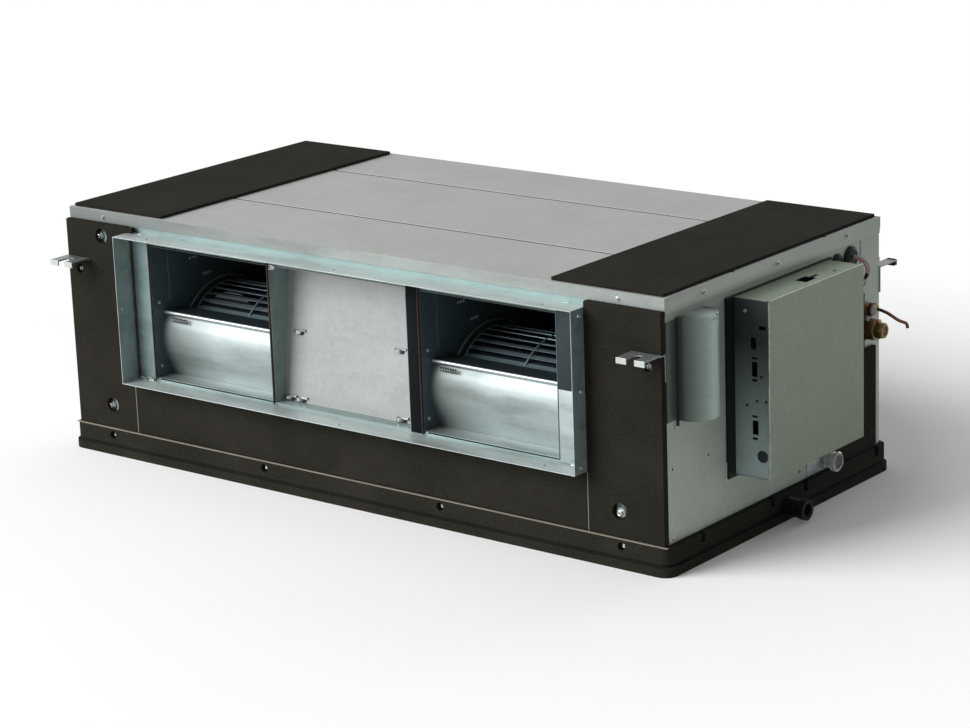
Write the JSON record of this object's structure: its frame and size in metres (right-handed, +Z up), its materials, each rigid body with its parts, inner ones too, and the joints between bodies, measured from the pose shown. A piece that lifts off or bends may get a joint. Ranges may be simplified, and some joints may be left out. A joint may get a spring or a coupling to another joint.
{
  "type": "air conditioner indoor unit",
  "caption": "Ducted ceiling air conditioner indoor unit: sheet-steel casing on a foam tray, centrifugal fans in spiral housings behind a duct collar, sloping finned coil, side control box.",
  "frame": {"origin": "centre of the underside of the foam tray, midway between the side panels and between the front and back of the casing", "axes": "+X to the right as seen from the outlet side, +Y from the outlet towards the return side, +Z up"},
  "size_m": [1.2776, 0.694, 0.419],
  "materials": {
    "galvanised": "zinc-coated sheet steel, faint spangle",
    "foam": "closed-cell insulating foam, dark brown-black",
    "wheel_steel": "zinc-coated sheet steel blades",
    "shaft_steel": "bright turned steel",
    "motor_paint": "dark grey enamel",
    "fin_aluminium": "thin stacked fins",
    "pan_white": "moulded tray",
    "black_plastic": "moulded, slightly satin",
    "clear_plastic": "translucent moulding",
    "copper": "bare drawn copper tube",
    "brass": "machined brass",
    "rubber": "black rubber",
    "lead_pink": "thin insulated lead",
    "board_green": "printed circuit board with parts",
    "transformer_iron": "laminated core",
    "capacitor_white": "moulded can"
  },
  "bodies": {
    "casing": {"base_tray": "foam", "bracket_front_left": "galvanised", "bracket_front_right": "galvanised", "bracket_rear_left": "galvanised", "bracket_rear_right": "galvanised", "capacitor": "capacitor_white", "capacitor_cover": "galvanised", "centre_plate": "galvanised", "clear_stub": "clear_plastic", "coil_fins": "fin_aluminium", "coil_plate_left": "galvanised", "coil_plate_right": "galvanised", "control_board": "board_green", "drain_pan": "pan_white", "drain_spout": "black_plastic", "ebox_back_plate": "black_plastic", "ebox_cover": "galvanised", "ebox_tray": "galvanised", "front_bulkhead": "galvanised", "front_foam_left": "foam", "front_foam_lower": "foam", "front_foam_right": "foam", "gas_cap": "black_plastic", "gas_pipe": "copper", "grommet_large": "rubber", "grommet_small": "rubber", "left_panel": "galvanised", "liquid_nut": "brass", "liquid_pipe": "copper", "motor_body": "motor_paint", "motor_saddle": "galvanised", "nose_left": "galvanised", "nose_right": "galvanised", "outlet_collar": "galvanised", "pipe_plate": "rubber", "rear_frame": "galvanised", "right_panel": "galvanised", "scroll_left": "galvanised", "scroll_right": "galvanised", "sensor_lead": "lead_pink", "service_tube": "copper", "service_union": "brass", "scroll_plate_left_outer": "galvanised", "scroll_plate_left_inner": "galvanised", "scroll_plate_right_inner": "galvanised", "scroll_plate_right_outer": "galvanised", "side_foam": "foam", "terminal_block": "black_plastic", "top_foam_left": "foam", "top_foam_right": "foam", "top_panel": "galvanised", "transformer": "transformer_iron"},
    "fan_rotor": {"motor_shaft": "shaft_steel", "wheel_left": "wheel_steel", "wheel_right": "wheel_steel", "blades_left_outer": "wheel_steel", "blades_left_inner": "wheel_steel", "blades_right_inner": "wheel_steel", "blades_right_outer": "wheel_steel"}
  },
  "joints": [
    {"name": "fan_spin", "type": "hinge", "parent": "casing", "child": "fan_rotor", "pos_m": [-0.0075, -0.134, 0.175], "axis": [1, 0, 0], "continuous": true}
  ]
}
